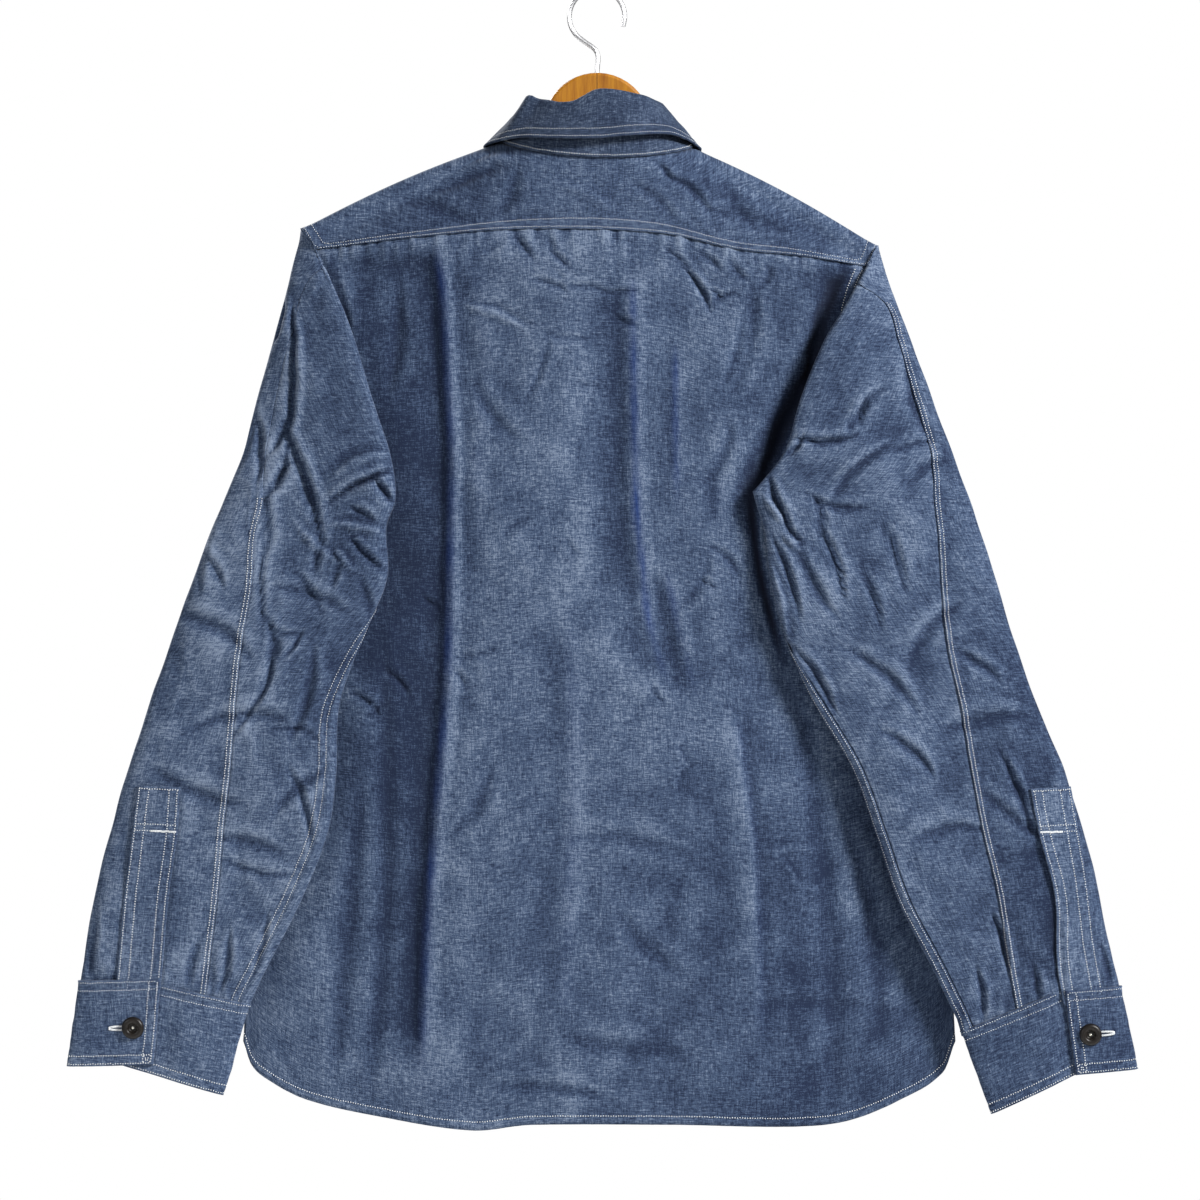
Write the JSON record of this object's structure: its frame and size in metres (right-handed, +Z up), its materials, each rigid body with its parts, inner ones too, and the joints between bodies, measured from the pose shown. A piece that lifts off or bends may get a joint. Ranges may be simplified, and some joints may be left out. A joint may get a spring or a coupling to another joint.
{
  "type": "long-sleeved work shirt on a wooden hanger",
  "caption": "Long-sleeved chambray work shirt with collar, yoke, plackets and buttoned cuffs, hung on a wooden hanger with a wire hook, its sleeves turned back over its back.",
  "frame": {"origin": "inside top of the hanger's hook, where the rail carries it", "axes": "+Z up, +Y out of the shirt's front, +X towards the wearer's right"},
  "size_m": [0.8068, 0.0767, 0.8632],
  "materials": {
    "cloth": "slubby blue chambray, matte",
    "collar_cloth": "slubby blue chambray, matte",
    "button": "dark brown, semi-gloss",
    "hanger_wood": "clear satin lacquer",
    "hanger_hook": "bright wire"
  },
  "bodies": {
    "root": {"back_panel": "cloth", "back_yoke": "cloth", "front_left": "cloth", "front_right": "cloth", "front_placket": "cloth", "collar_stand": "collar_cloth", "collar_leaf": "collar_cloth", "sleeve_top_left": "cloth", "sleeve_top_right": "cloth", "sleeve_under_left": "cloth", "sleeve_under_right": "cloth", "sleeve_placket_left": "cloth", "sleeve_placket_right": "cloth", "cuff_left": "cloth", "cuff_right": "cloth", "cuff_button_left": "button", "cuff_button_right": "button", "front_button_1": "button", "front_button_2": "button", "front_button_3": "button", "front_button_4": "button", "front_button_5": "button", "front_button_6": "button", "front_button_7": "button", "hanger_wood": "hanger_wood", "hanger_hook": "hanger_hook"}
  },
  "joints": []
}
